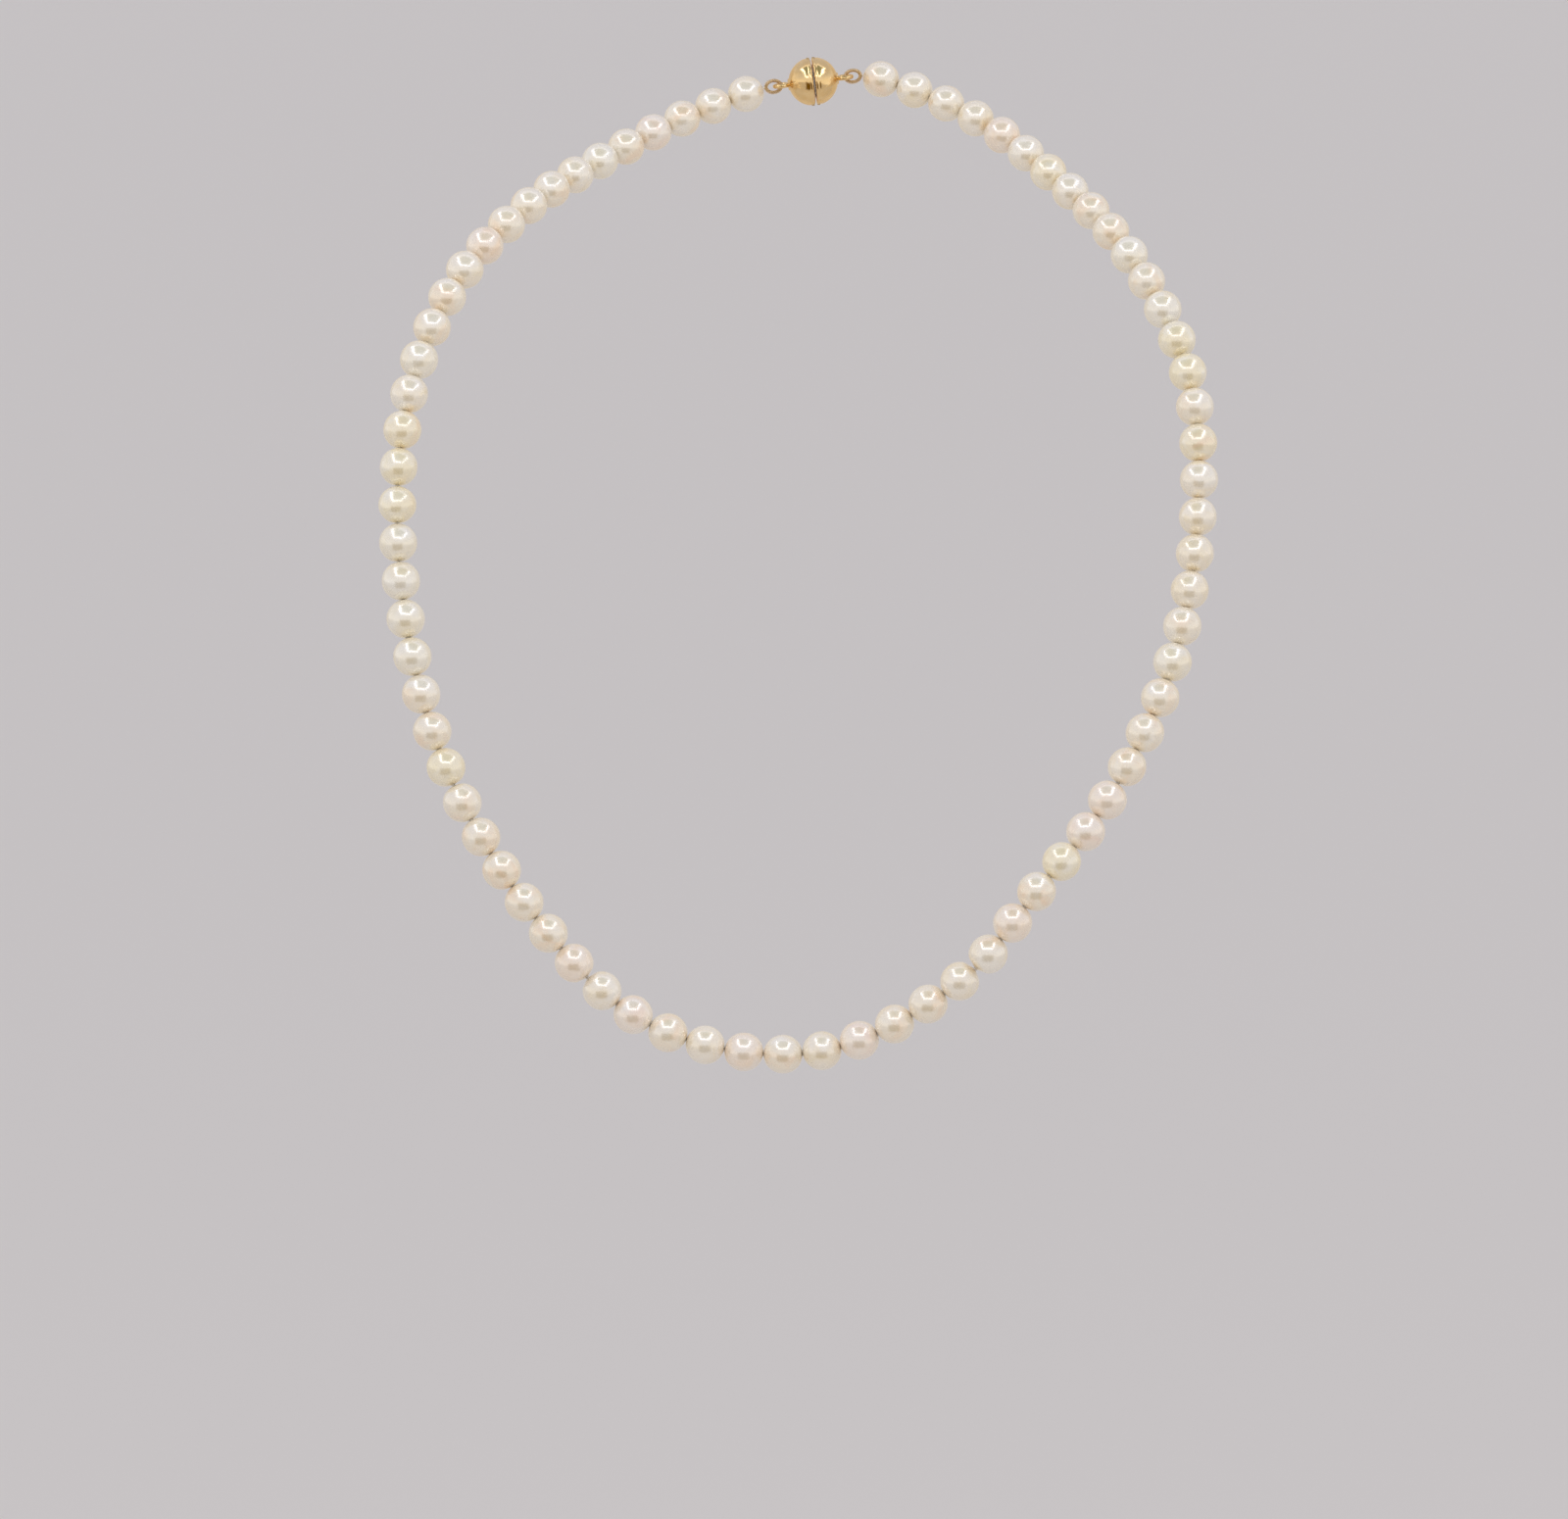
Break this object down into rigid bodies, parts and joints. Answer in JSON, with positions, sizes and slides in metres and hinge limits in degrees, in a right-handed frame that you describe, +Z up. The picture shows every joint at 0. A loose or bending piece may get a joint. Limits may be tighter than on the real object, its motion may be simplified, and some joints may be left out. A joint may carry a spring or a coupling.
{
  "type": "pearl necklace",
  "caption": "Single strand of round cream pearls, knotted on silk and closed at the nape by a ball clasp with magnets.",
  "frame": {"origin": "centre of the wearer's neck, at the height where the strand passes the neck's sides", "axes": "+Z up, -Y to the wearer's front, +X to the right as seen from the front"},
  "size_m": [0.1264, 0.1008, 0.1404],
  "materials": {
    "pearl": "polished",
    "silk": "matte",
    "gold": "polished",
    "gold_wire": "satin",
    "magnet": "polished"
  },
  "bodies": {
    "neck_strand": {"pearls_left_12": "pearl", "pearls_left_13": "pearl", "pearls_left_14": "pearl", "thread_neck_left": "silk", "pearls_right_12": "pearl", "pearls_right_13": "pearl", "pearls_right_14": "pearl", "thread_neck_right": "silk"},
    "collarbone_strand": {"pearls_left_09": "pearl", "pearls_left_10": "pearl", "pearls_left_11": "pearl", "thread_collarbone_left": "silk", "pearls_right_09": "pearl", "pearls_right_10": "pearl", "pearls_right_11": "pearl", "thread_collarbone_right": "silk"},
    "chest_strand": {"pearls_left_06": "pearl", "pearls_left_07": "pearl", "pearls_left_08": "pearl", "thread_chest_left": "silk", "pearls_right_06": "pearl", "pearls_right_07": "pearl", "pearls_right_08": "pearl", "thread_chest_right": "silk"},
    "lower_strand": {"pearls_left_03": "pearl", "pearls_left_04": "pearl", "pearls_left_05": "pearl", "thread_lower_left": "silk", "pearls_right_03": "pearl", "pearls_right_04": "pearl", "pearls_right_05": "pearl", "thread_lower_right": "silk"},
    "front_drop": {"pearls_left_01": "pearl", "pearls_left_02": "pearl", "pearls_front": "pearl", "pearls_right_01": "pearl", "pearls_right_02": "pearl", "thread_front": "silk"},
    "tail_left": {"pearls_left_15": "pearl", "pearls_left_16": "pearl", "thread_tail_left": "silk"},
    "clasp_end_left": {"pearls_left_17": "pearl", "pearls_left_18": "pearl", "thread_clasp_end_left": "silk", "gimp_loop_left": "gold_wire", "clasp_cup_left": "gold", "clasp_magnet_left": "magnet"},
    "tail_right": {"pearls_right_15": "pearl", "pearls_right_16": "pearl", "thread_tail_right": "silk"},
    "clasp_end_right": {"pearls_right_17": "pearl", "pearls_right_18": "pearl", "thread_clasp_end_right": "silk", "gimp_loop_right": "gold_wire", "clasp_cup_right": "gold", "clasp_magnet_right": "magnet"}
  },
  "joints": [
    {"name": "collarbone_fold", "type": "hinge", "parent": "neck_strand", "child": "collarbone_strand", "pos_m": [-0.00283, -0.00017, -0.00382], "axis": [0.997, 0.0756, -0.0193], "range_deg": [-26, 20]},
    {"name": "chest_fold", "type": "hinge", "parent": "collarbone_strand", "child": "chest_strand", "pos_m": [-0.0031, -0.01771, -0.0339], "axis": [0.998, 0.0614, -0.0128], "range_deg": [-23, 23]},
    {"name": "lower_fold", "type": "hinge", "parent": "chest_strand", "child": "lower_strand", "pos_m": [-0.00388, -0.03255, -0.0638], "axis": [0.9993, 0.0365, 0.0095], "range_deg": [-26, 25]},
    {"name": "front_fold", "type": "hinge", "parent": "lower_strand", "child": "front_drop", "pos_m": [-0.00388, -0.04257, -0.09012], "axis": [0.9991, -0.0017, 0.0431], "range_deg": [-30, 28]},
    {"name": "tail_left_swing", "type": "hinge", "parent": "neck_strand", "child": "tail_left", "pos_m": [-0.04544, 0.02033, 0.0163], "axis": [0, 0, 1], "range_deg": [0, 24]},
    {"name": "clasp_end_left_swing", "type": "hinge", "parent": "tail_left", "child": "clasp_end_left", "pos_m": [-0.0314, 0.03775, 0.02317], "axis": [0, 0, 1], "range_deg": [0, 28]},
    {"name": "tail_right_swing", "type": "hinge", "parent": "neck_strand", "child": "tail_right", "pos_m": [0.03896, 0.02768, 0.01536], "axis": [0, 0, -1], "range_deg": [0, 24]},
    {"name": "clasp_end_right_swing", "type": "hinge", "parent": "tail_right", "child": "clasp_end_right", "pos_m": [0.02429, 0.04318, 0.02501], "axis": [0, 0, -1], "range_deg": [0, 28]}
  ]
}
